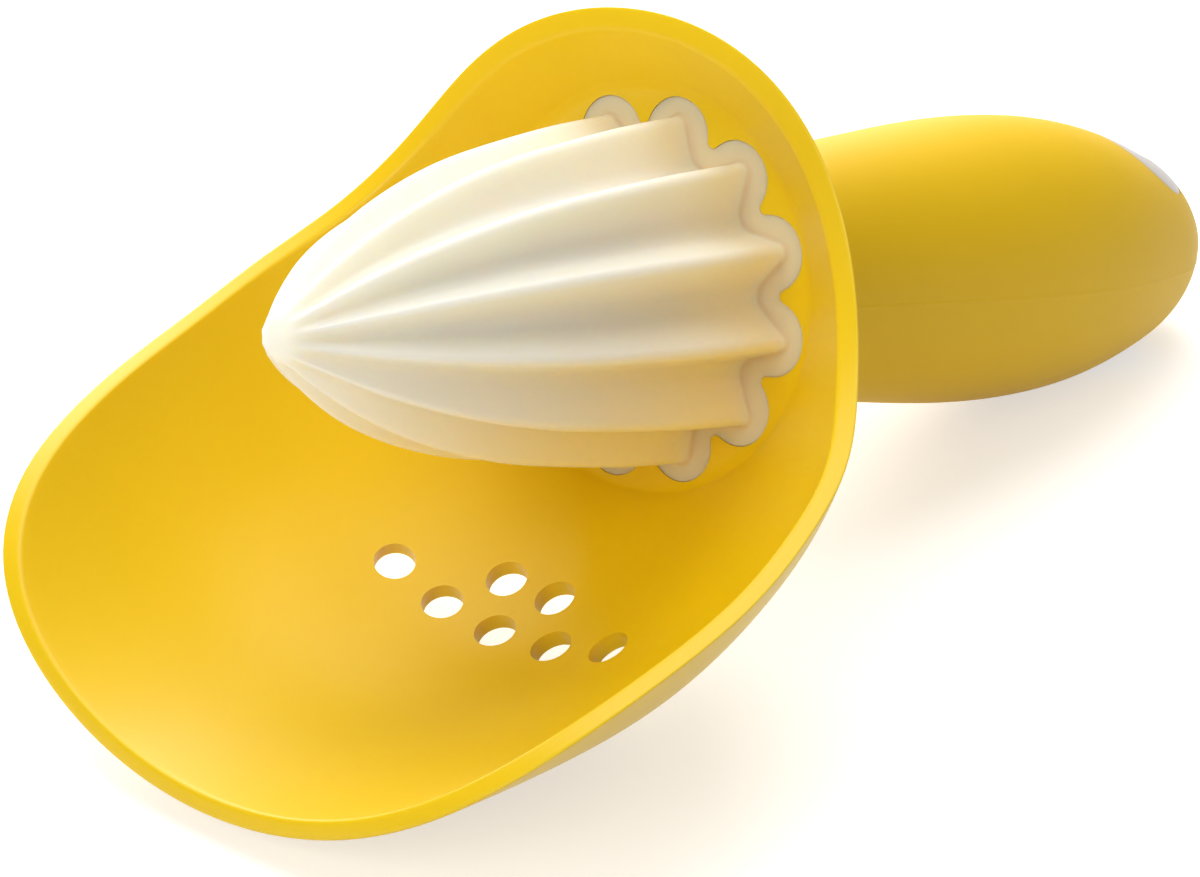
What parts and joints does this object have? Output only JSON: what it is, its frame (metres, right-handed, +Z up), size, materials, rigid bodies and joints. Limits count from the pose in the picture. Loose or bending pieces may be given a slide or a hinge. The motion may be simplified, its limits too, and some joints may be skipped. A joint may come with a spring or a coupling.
{
  "type": "citrus reamer",
  "caption": "Hand citrus reamer with an ivory fluted cone, a yellow pip-catching scoop and a soft yellow grip.",
  "frame": {"origin": "on the table plane, under the middle of the whole tool's bounding box, as the tool rests on its scoop and grip", "axes": "+X along the tool towards the cone's tip, +Y across the tool, +Z up from the table"},
  "size_m": [0.1818, 0.0874, 0.0673],
  "materials": {
    "ivory_plastic": "satin moulded plastic",
    "yellow_plastic": "satin moulded plastic, a little translucent",
    "yellow_soft_grip": "fine matt soft-touch",
    "seal_rubber": "smooth silicone",
    "stainless_steel": "turned"
  },
  "bodies": {
    "root": {"reamer_cone": "ivory_plastic", "juice_seal": "seal_rubber", "pip_scoop": "yellow_plastic", "handle_core": "ivory_plastic", "grip_sleeve": "yellow_soft_grip", "hang_eye": "ivory_plastic", "clamp_washer": "stainless_steel", "clamp_screw": "stainless_steel"}
  },
  "joints": []
}
